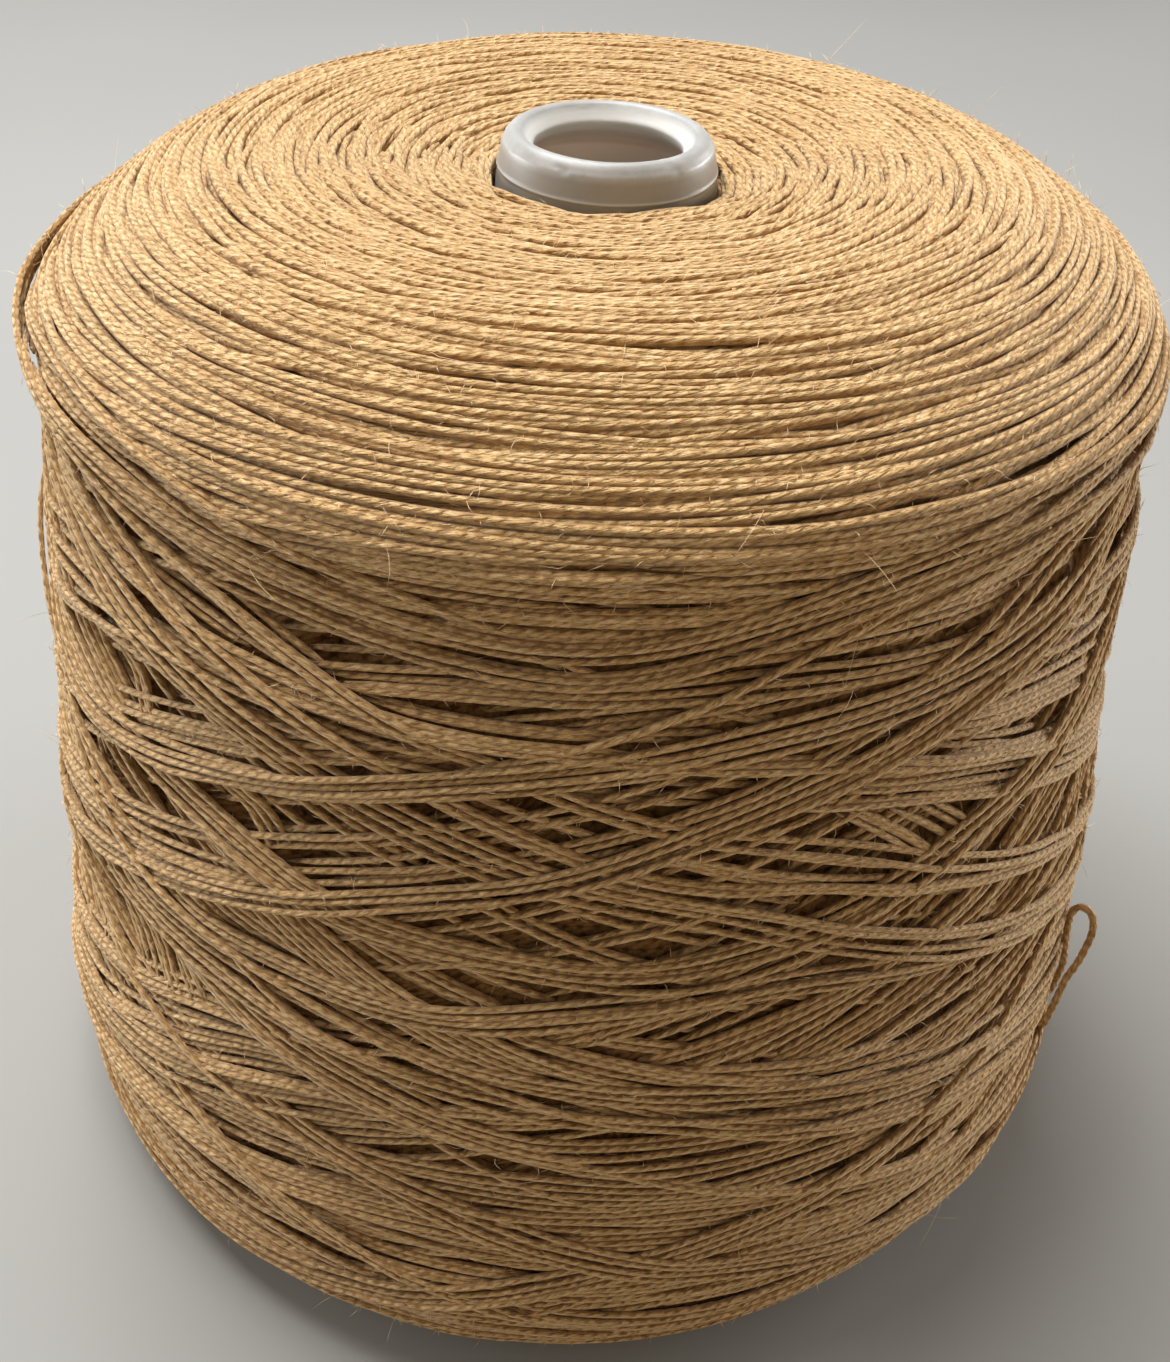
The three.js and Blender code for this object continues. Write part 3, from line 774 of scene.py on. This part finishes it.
def fuzz(name, number, shortest, longest, thick, rise, rings):
    """Fibres that stand off the strands: thin closed spindles with that many rings of three points."""
    at = rng.integers(0, len(every_s), number)
    after = np.where(np.isin(at, last_of_run), at - 1, at + 1)
    both = np.stack([at, after])
    theta, s, c = every_theta[both], every_s[both], every_c[both]
    p, n = surface(theta, s, settle(theta, s, c))
    p, n, strand = p[0], n[0], p[1] - p[0]
    strand /= np.linalg.norm(strand, axis=1)[:, None]
    b = np.cross(n, strand)
    b /= np.linalg.norm(b, axis=1)[:, None]
    tilt = rng.uniform(-1.25, 1.25, number)[:, None]   # from which side of the strand the fibre comes out
    out = n * np.cos(tilt) + b * np.sin(tilt)
    root = p + YARN_R * 0.75 * out
    heading = rng.normal(0, 0.95, number)[:, None] + np.where(rng.random(number) < 0.5, 0, math.pi)[:, None]
    round_the = np.cross(strand, out)
    along = strand * np.cos(heading) + round_the * np.sin(heading)
    side = np.cross(out, along)
    size = (shortest + (longest - shortest) * rng.random(number) ** 1.6)[:, None]
    lifted = rng.uniform(0.05, rise, number)[:, None]
    curl = rng.normal(0, 0.4, number)[:, None]
    # none that would reach the floor or stand in front of the nose
    tip = root + along * size + out * size * lifted * 0.5 + side * size * curl
    fine = (tip[:, 2] > 0.6) & ((s[0] > 9.0) | (size[:, 0] < 2.0)) & (s[0] < S_END - 1.5)
    root, along, out, side, size, lifted, curl = (v[fine] for v in (root, along, out, side, size, lifted, curl))
    number = len(root)
    verts = []
    for t in np.linspace(0, 1, rings + 2):
        centre = root + along * t * size + out * t * size * lifted * (1 - 0.5 * t) + side * size * curl * t * t
        if 0 < t < 1:
            w = thick * (1.15 - 0.55 * t)
            verts += [centre + w * (math.cos(a) * side + math.sin(a) * out) for a in (0.5, 0.5 + TAU / 3, 0.5 + 2 * TAU / 3)]
        else:
            verts.append(centre)
    each = 2 + 3 * rings
    verts = np.stack(verts, 1).reshape(-1, 3)
    start = each * np.arange(number)
    quads, tris = [], []
    for k in range(3):
        m = (k + 1) % 3
        tris.append(np.stack([start, start + 1 + m, start + 1 + k], 1))
        tris.append(np.stack([start + each - 1, start + each - 4 + k, start + each - 4 + m], 1))
        for r in range(rings - 1):
            low, high = 1 + 3 * r, 4 + 3 * r
            quads.append(np.stack([start + low + k, start + low + m, start + high + m, start + high + k], 1))
    quads = np.concatenate(quads) if quads else np.zeros((0, 4), int)
    obj = mesh_object(name, verts, quads, np.concatenate(tris))
    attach(obj, "root")
    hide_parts("winding")
    return obj


short_fuzz = fuzz("yarn_fuzz", 32500, 0.9, 2.9, 0.055, 0.32, 1)
long_fuzz = fuzz("yarn_stray_hairs", 700, 2.5, 11.0, 0.036, 0.4, 3)

# ---------------------------------------------------------------- the plastic cone


def rounded(points, size, steps=4):
    """A section line whose corners are rounded."""
    out = [points[0]]
    for a, b, c in zip(points[:-2], points[1:-1], points[2:]):
        a, b, c = np.array(a), np.array(b), np.array(c)
        la, lc = np.linalg.norm(a - b), np.linalg.norm(c - b)
        k = min(size, 0.45 * la, 0.45 * lc)
        p, q = b + (a - b) / la * k, b + (c - b) / lc * k
        for t in np.linspace(0, 1, steps):
            out.append((1 - t) ** 2 * p + 2 * t * (1 - t) * b + t * t * q)
    out.append(points[-1])
    return np.array([np.array(v, float) for v in out])


top, foot = CORE_LENGTH, CORE_LENGTH - NOSE_FOOT_DROP
outside = [(core_radius(0) - 0.5, 0.0), (core_radius(0) - 0.1, 0.5), (core_radius(0.5 * foot), 0.5 * foot),
           (core_radius(foot - 1.6) - 0.03, foot - 1.6), (NOSE_FOOT_R - 0.02, foot - 0.5),
           (NOSE_FOOT_R + 0.2, foot - 0.12), (NOSE_FOOT_R - 0.03, foot + 0.22),
           (15.42, top - 3.2), (15.16, top - 2.0), (15.0, top - 1.45), (14.72, top - 1.1), (14.3, top - 0.55),
           (13.75, top - 0.12), (13.2, top), (12.6, top - 0.12), (12.05, top - 0.62), (11.3, top - 1.5),
           (10.85, top - 1.95), (10.66, top - 2.2), (10.63, top - 2.45), (10.7, top - 2.9), (10.95, top - 3.6),
           (core_radius(top - 6.4) - 2, top - 6.4), (core_radius(0.5 * foot) - 2, 0.5 * foot),
           (core_radius(0) - 2, 0.5), (core_radius(0) - 1.8, 0.0)]
line = rounded(outside, 0.35, 4)
# fine rows on the long plain walls, so that shading stays even
dense = [line[0]]
for a, b in zip(line[:-1], line[1:]):
    n = max(1, int(np.linalg.norm(b - a) / 9.0))
    dense += [a + (b - a) * t for t in np.linspace(0, 1, n + 1)[1:]]
line = np.array(dense)
CS = 192
ca = TAU * np.arange(CS) / CS
NICKS = [  # azimuth, height, reach in degrees, reach in height, depth
    (-23.0, 168.6, 2.2, 0.45, 0.28), (-27.0, 168.9, 1.5, 0.3, 0.16), (40.0, 168.7, 2.0, 0.5, 0.22),
    (36.0, 169.6, 1.4, 0.4, 0.14), (152.0, 168.4, 2.4, 0.5, 0.3), (200.0, 168.9, 2.6, 0.5, 0.25),
    (212.0, 168.3, 1.8, 0.4, 0.22), (97.0, 169.0, 1.8, 0.4, 0.15), (-96.0, 168.5, 2.0, 0.4, 0.2),
    (-60.0, 168.8, 1.3, 0.3, 0.12), (-12.0, 168.2, 1.2, 0.4, 0.1),
]
wobble = 0.05 * np.sin(3 * ca + 0.7) + 0.03 * np.sin(7 * ca + 2.1)
core_verts = np.zeros((CS, len(line), 3))
for j, (r, z) in enumerate(line):
    push = wobble * np.clip((z - 150) / 15, 0, 1)
    for a0, z0, w, tall, deep in NICKS:
        if r > 12.0:
            push = push - deep * bell(turn_between(np.degrees(ca), a0), w) * bell(z - z0, tall)
    core_verts[:, j, 0], core_verts[:, j, 1], core_verts[:, j, 2] = (r + push) * np.sin(ca), -(r + push) * np.cos(ca), z
W = len(line)
i, k = np.meshgrid(np.arange(CS), np.arange(W), indexing="ij")
i, k = i.ravel(), k.ravel()
ni, nk = (i + 1) % CS, (k + 1) % W
core_quads = np.stack([i * W + k, ni * W + k, ni * W + nk, i * W + nk], 1)
core = mesh_object("plastic_cone", core_verts.reshape(-1, 3), core_quads)
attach(core, "root")
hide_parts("core")


# ---------------------------------------------------------------- materials
class Nodes:
    """Short calls for building a node tree."""

    def __init__(self, name):
        self.mat = bpy.data.materials.new(name)
        self.mat.use_nodes = True
        self.tree = self.mat.node_tree
        self.tree.nodes.clear()
        self.out = self.tree.nodes.new("ShaderNodeOutputMaterial")

    def node(self, kind, inputs=None, **props):
        n = self.tree.nodes.new(kind)
        for k, v in props.items():
            setattr(n, k, v)
        for k, v in (inputs or {}).items():
            self.put(n, k, v)
        return n

    def put(self, n, k, v):
        if isinstance(v, bpy.types.NodeSocket):
            self.tree.links.new(v, n.inputs[k])
        else:
            n.inputs[k].default_value = v

    def math(self, op, a, b=None, c=None, clamp=False):
        n = self.node("ShaderNodeMath", operation=op, use_clamp=clamp)
        for k, v in enumerate((a, b, c)):
            if v is not None:
                self.put(n, k, v)
        return n.outputs[0]

    def mix(self, factor, a, b, kind="RGBA", blend="MIX"):
        n = self.node("ShaderNodeMix", data_type=kind)
        if kind == "RGBA":
            n.blend_type = blend
        fac = n.inputs[0]
        pair = [s for s in n.inputs if s.enabled and s.name in ("A", "B")]
        for s, v in ((fac, factor), (pair[0], a), (pair[1], b)):
            if isinstance(v, bpy.types.NodeSocket):
                self.tree.links.new(v, s)
            else:
                s.default_value = v
        return [o for o in n.outputs if o.enabled][0]

    def noise(self, vector, scale, detail=2.0, rough=0.5, dims="3D"):
        n = self.node("ShaderNodeTexNoise", {"Scale": scale, "Detail": detail, "Roughness": rough},
                      noise_dimensions=dims)
        self.tree.links.new(vector, n.inputs["Vector"])
        return n.outputs[0]

    def combine(self, x, y, z):
        n = self.node("ShaderNodeCombineXYZ", {0: x, 1: y, 2: z})
        return n.outputs[0]

    def two_ply(self, u, q):
        """Height of two plies twisted round each other, over a strand of half width 1. u counts full
        twists along the strand, and q runs from -1 to 1 across it as seen from outside."""
        a = self.math("MULTIPLY", u, TAU)
        c, s = self.math("MULTIPLY", self.math("COSINE", a), 0.5), self.math("MULTIPLY", self.math("SINE", a), 0.5)
        ends = []
        for sign in (1.0, -1.0):
            off = self.math("ABSOLUTE", self.math("MULTIPLY_ADD", c, sign, q))
            circle = self.math("SQRT", self.math("MAXIMUM", self.math(
                "SUBTRACT", 0.34, self.math("MULTIPLY", off, off)), 0.0))
            past = self.math("MULTIPLY", self.math("MAXIMUM", self.math("SUBTRACT", off, 0.583), 0.0), -2.5)
            ends.append(self.math("ADD", self.math("MULTIPLY_ADD", s, sign, circle), past))
        both = self.math("SMOOTH_MAX", ends[0], ends[1], 0.12)
        return self.math("MAXIMUM", both, -0.4)

    def ramp(self, value, stops):
        n = self.node("ShaderNodeValToRGB")
        ramp = n.color_ramp
        while len(ramp.elements) < len(stops):
            ramp.elements.new(0.5)
        for e, (at, colour) in zip(ramp.elements, stops):
            e.position = at
            e.color = (*colour, 1)
        self.tree.links.new(value, n.inputs[0])
        return n.outputs[0]


PALE, FAWN, DEEP = (0.84, 0.60, 0.325), (0.65, 0.42, 0.19), (0.43, 0.25, 0.095)


def yarn_material():
    m = Nodes("yarn_two_ply")
    uv = m.node("ShaderNodeUVMap", uv_map="twist").outputs[0]
    sep = m.node("ShaderNodeSeparateXYZ", {0: uv})
    u, v = sep.outputs[0], sep.outputs[1]
    ang = m.math("MULTIPLY", v, TAU)
    cos, sin = m.math("COSINE", ang), m.math("SINE", ang)
    uneven = m.noise(m.combine(u, 0.0, 0.0), 1.3, 2.0)
    plies = m.two_ply(m.math("MULTIPLY_ADD", uneven, 0.8, u), cos)
    own = m.math("SQRT", m.math("MAXIMUM", m.math("SUBTRACT", 1.0, m.math("MULTIPLY", cos, cos)), 0.06))
    facing = m.math("MULTIPLY_ADD", own, 1.7, -0.35, clamp=True)
    relief_of_plies = m.math("MULTIPLY", m.math("SUBTRACT", plies, own), facing)
    # fibres: long thin streaks that lie almost along the strand
    lean = m.math("MULTIPLY_ADD", u, 1.6, ang)
    fc, fs = m.math("COSINE", lean), m.math("SINE", lean)
    fibre_at = m.combine(u, m.math("MULTIPLY", fc, 0.5), m.math("MULTIPLY", fs, 0.5))
    fibre = m.noise(fibre_at, 3.6, 2.0, 0.65)
    tangle = m.noise(m.combine(m.math("MULTIPLY", u, 3.0), cos, sin), 2.0, 2.0, 0.6)
    mottle = m.noise(m.combine(u, m.math("MULTIPLY", cos, 0.35), m.math("MULTIPLY", sin, 0.35)), 0.6, 2.0, 0.6)
    strand = m.noise(m.combine(m.math("MULTIPLY", u, 0.05), 0.0, 0.0), 1.0, 1.0)
    where = m.node("ShaderNodeTexCoord").outputs["Object"]
    broad = m.noise(where, 22.0, 1.0, 0.5)
    tone = m.math("MULTIPLY_ADD", fibre, 1.9, -1.355)
    for part, share in ((tangle, 0.8), (mottle, 0.45), (strand, 0.35), (broad, 0.2)):
        tone = m.math("MULTIPLY_ADD", part, share, tone)
    colour = m.ramp(tone, [(0.1, DEEP), (0.5, FAWN), (0.9, PALE)])
    # painted shade: the yarn's colour is darkened, and made warmer, in the furrows between the plies and towards the
    # strand's edges, where less light reaches
    shade = m.math("MULTIPLY_ADD", m.math("ADD", relief_of_plies, own), 1.3, -0.2, clamp=True)
    colour = m.mix(1.0, colour, m.ramp(shade, [(0.0, (0.60, 0.51, 0.42)), (0.45, (0.89, 0.865, 0.83)), (1.0, (1.0, 1.0, 1.0))]),
                   blend="MULTIPLY")
    height = m.math("ADD", relief_of_plies, m.math("MULTIPLY_ADD", fibre, 2.0, m.math("MULTIPLY", tangle, 0.9)))
    bump = m.node("ShaderNodeBump", {"Strength": 1.0, "Distance": 0.00022, "Height": height})
    shader = m.node("ShaderNodeBsdfPrincipled", {
        "Base Color": colour, "Roughness": 0.9, "Specular IOR Level": 0.15, "Sheen Weight": 0.4,
        "Sheen Roughness": 0.4, "Sheen Tint": (1.0, 0.9, 0.76, 1), "Normal": bump.outputs[0]})
    m.tree.links.new(shader.outputs[0], m.out.inputs[0])
    return m.mat


def body_material():
    """Strands deep in the package: fine slanting rows, painted darker than the outer yarn as shade for the gaps where
    they show.
    """
    m = Nodes("yarn_deep_rows_painted_shade")
    where = m.node("ShaderNodeTexCoord").outputs["Object"]
    uv = m.node("ShaderNodeUVMap", uv_map="twist").outputs[0]
    sep = m.node("ShaderNodeSeparateXYZ", {0: uv})
    u, v = sep.outputs[0], sep.outputs[1]
    warp = m.noise(m.combine(u, m.math("MULTIPLY", v, 0.25), 0.0), 0.16, 1.0)
    row = m.math("ADD", v, m.math("MULTIPLY", warp, 9.0))
    inside = m.math("FRACT", row)
    q = m.math("MULTIPLY_ADD", inside, -2.0, 1.0)
    along = m.math("MULTIPLY_ADD", m.math("FLOOR", row), 0.37, u)
    plies = m.two_ply(along, q)
    grain = m.noise(where, 1800.0, 2.0, 0.6)
    # painted shade: the deep rows are coloured darker than the outer yarn, and darker still in the furrows between
    # their plies
    shade = m.math("MULTIPLY", m.math("ADD", plies, 0.35), 0.95, clamp=True)
    colour = m.ramp(grain, [(0.3, (0.26, 0.135, 0.047)), (0.7, (0.46, 0.265, 0.105))])
    colour = m.mix(1.0, colour, m.ramp(shade, [(0.0, (0.35, 0.27, 0.2)), (1.0, (0.8, 0.78, 0.75))]), blend="MULTIPLY")
    # painted light: near the top the deep rows are lightened towards the yarn's colour, for the light that comes
    # through the thin outer rows
    height = m.node("ShaderNodeSeparateXYZ", {0: where}).outputs[2]
    near_top = m.math("MULTIPLY", m.math("SUBTRACT", height, 0.146), 90.0, clamp=True)
    colour = m.mix(m.math("MULTIPLY", near_top, 0.7), colour, (0.60, 0.38, 0.17, 1))
    bump = m.node("ShaderNodeBump", {"Strength": 0.8, "Distance": 0.0003, "Height": plies})
    shader = m.node("ShaderNodeBsdfPrincipled", {
        "Base Color": colour, "Roughness": 0.92, "Specular IOR Level": 0.15, "Normal": bump.outputs[0]})
    m.tree.links.new(shader.outputs[0], m.out.inputs[0])
    return m.mat


def fibre_material():
    m = Nodes("yarn_fibres")
    where = m.node("ShaderNodeTexCoord").outputs["Object"]
    colour = m.ramp(m.noise(where, 90.0, 2.0), [(0.35, (0.62, 0.40, 0.19)), (0.62, (0.86, 0.66, 0.42))])
    shader = m.node("ShaderNodeBsdfPrincipled", {
        "Base Color": colour, "Roughness": 0.6, "Specular IOR Level": 0.4, "Sheen Weight": 0.2,
        "Sheen Roughness": 0.4, "Sheen Tint": (1.0, 0.9, 0.75, 1)})
    m.tree.links.new(shader.outputs[0], m.out.inputs[0])
    return m.mat


def plastic_material():
    m = Nodes("frosted_plastic")
    where = m.node("ShaderNodeTexCoord").outputs["Object"]
    sep = m.node("ShaderNodeSeparateXYZ", {0: where})
    x, y, z = sep.outputs
    radius = m.math("SQRT", m.math("ADD", m.math("MULTIPLY", x, x), m.math("MULTIPLY", y, y)))
    cloud = m.noise(where, 160.0, 3.0, 0.6)
    speck = m.noise(where, 1400.0, 2.0, 0.7)
    white = m.ramp(m.math("MULTIPLY_ADD", speck, 0.3, m.math("MULTIPLY", cloud, 0.7)),
                   [(0.3, (0.31, 0.305, 0.29)), (0.55, (0.37, 0.365, 0.35)), (0.75, (0.45, 0.45, 0.44))])
    # the wall is clearer than the thick ring; painted shade and painted reflection: below the ring it is darkened to a
    # warm grey for the yarn that shows through it and is reflected in it
    lower = m.math("MULTIPLY", m.math("SUBTRACT", 0.1684, z), 1100.0, clamp=True)
    white = m.mix(m.math("MULTIPLY", lower, 0.8), white, (0.25, 0.235, 0.21, 1))
    # painted highlights: the bead round the foot and the thin lip of the hole are painted lighter, for the light they
    # catch and carry
    bead = m.math("SUBTRACT", 1.0, m.math("MULTIPLY", m.math("ABSOLUTE", m.math("SUBTRACT", z, 0.16515)), 4500.0), clamp=True)
    white = m.mix(m.math("MULTIPLY", bead, 0.75), white, (0.55, 0.53, 0.49, 1))
    lip = m.math("MULTIPLY", m.math("SUBTRACT", 0.0123, radius), 1400.0, clamp=True)
    white = m.mix(m.math("MULTIPLY", lip, 0.9), white, (0.66, 0.64, 0.60, 1))
    # painted light and shade: deeper inside the hole the surfaces are coloured a warm brown-grey for the yarn lit
    # through the frosted wall, lighter towards the mouth
    depth = m.math("MULTIPLY", m.math("SUBTRACT", 0.1672, z), 400.0, clamp=True)
    wall_r = m.math("MULTIPLY_ADD", z, -0.1042, 0.01572 + 0.1042 * 0.16525)  # outside radius at that height
    inner = m.math("LESS_THAN", radius, m.math("SUBTRACT", wall_r, 0.0012))
    brown = m.ramp(z, [(0.0, (0.60, 0.575, 0.53)), (0.14, (0.66, 0.61, 0.55)), (0.158, (0.80, 0.70, 0.60))])
    brown = m.mix(m.math("MULTIPLY", cloud, 0.25), brown, (0.62, 0.52, 0.44, 1))
    colour = m.mix(m.math("MULTIPLY", inner, depth), white, brown)
    rough = m.math("MULTIPLY_ADD", cloud, 0.25, 0.27)
    bump = m.node("ShaderNodeBump", {"Strength": 0.35, "Distance": 0.00012,
                                     "Height": m.math("MULTIPLY_ADD", speck, 0.4, m.math("MULTIPLY", cloud, 0.6))})
    shader = m.node("ShaderNodeBsdfPrincipled", {
        "Base Color": colour, "Roughness": rough, "Specular IOR Level": 0.5, "IOR": 1.49,
        "Subsurface Weight": 0.35, "Subsurface Scale": 0.003, "Subsurface Radius": (1.0, 0.92, 0.85),
        "Normal": bump.outputs[0]})
    m.tree.links.new(shader.outputs[0], m.out.inputs[0])
    return m.mat


def floor_material():
    m = Nodes("pale_floor")
    where = m.node("ShaderNodeTexCoord").outputs["Object"]
    colour = m.ramp(m.noise(where, 3.0, 2.0), [(0.3, (0.31, 0.305, 0.29)), (0.7, (0.335, 0.33, 0.315))])
    shader = m.node("ShaderNodeBsdfPrincipled", {"Base Color": colour, "Roughness": 0.75, "Specular IOR Level": 0.2})
    m.tree.links.new(shader.outputs[0], m.out.inputs[0])
    return m.mat


yarn_mat, body_mat = yarn_material(), body_material()
for obj in yarn_pieces + [loose_loop]:
    obj.data.materials.append(yarn_mat)
wound_body.data.materials.append(body_mat)
fibre_mat = fibre_material()
for obj in (short_fuzz, long_fuzz):
    obj.data.materials.append(fibre_mat)
core.data.materials.append(plastic_material())

# ---------------------------------------------------------------- floor and light
bpy.ops.mesh.primitive_plane_add(size=6.0, location=(0, 0, -0.00002))
floor = bpy.context.active_object
floor.name = "floor"
floor.data.materials.append(floor_material())


def area(name, place, aim, size, power, colour=(1, 1, 1), size_y=None):
    data = bpy.data.lights.new(name, "AREA")
    data.energy = power
    data.color = colour
    data.shape = "RECTANGLE"
    data.size, data.size_y = size, size_y or size
    obj = bpy.data.objects.new(name, data)
    scene.collection.objects.link(obj)
    obj.location = place
    obj.rotation_mode = "QUATERNION"
    obj.rotation_quaternion = (Vector(aim) - Vector(place)).to_track_quat("-Z", "Y")
    return obj


area("overhead", (-0.3, 0.3, 1.15), (0, 0, 0.1), 0.8, 24.5, (0.985, 0.99, 1.0), 0.7)
area("left_window", (-2.2, 0.55, 0.34), (0, 0, 0.1), 1.5, 43.0, (0.95, 0.98, 1.0), 0.6)
area("right_side", (2.1, 1.2, 0.36), (0, 0, 0.1), 1.5, 60.0, (0.95, 0.98, 1.0), 0.6)
area("front_fill", (0.6, -1.25, 0.55), (0, 0, 0.07), 1.0, 3.6, (1.0, 0.77, 0.47))

world = bpy.data.worlds.new("world")
scene.world = world
world.use_nodes = True
background = next(n for n in world.node_tree.nodes if n.type == "BACKGROUND")
background.inputs[0].default_value = (1.0, 0.95, 0.88, 1)
background.inputs[1].default_value = 0.2
scene.view_settings.view_transform = "Standard"
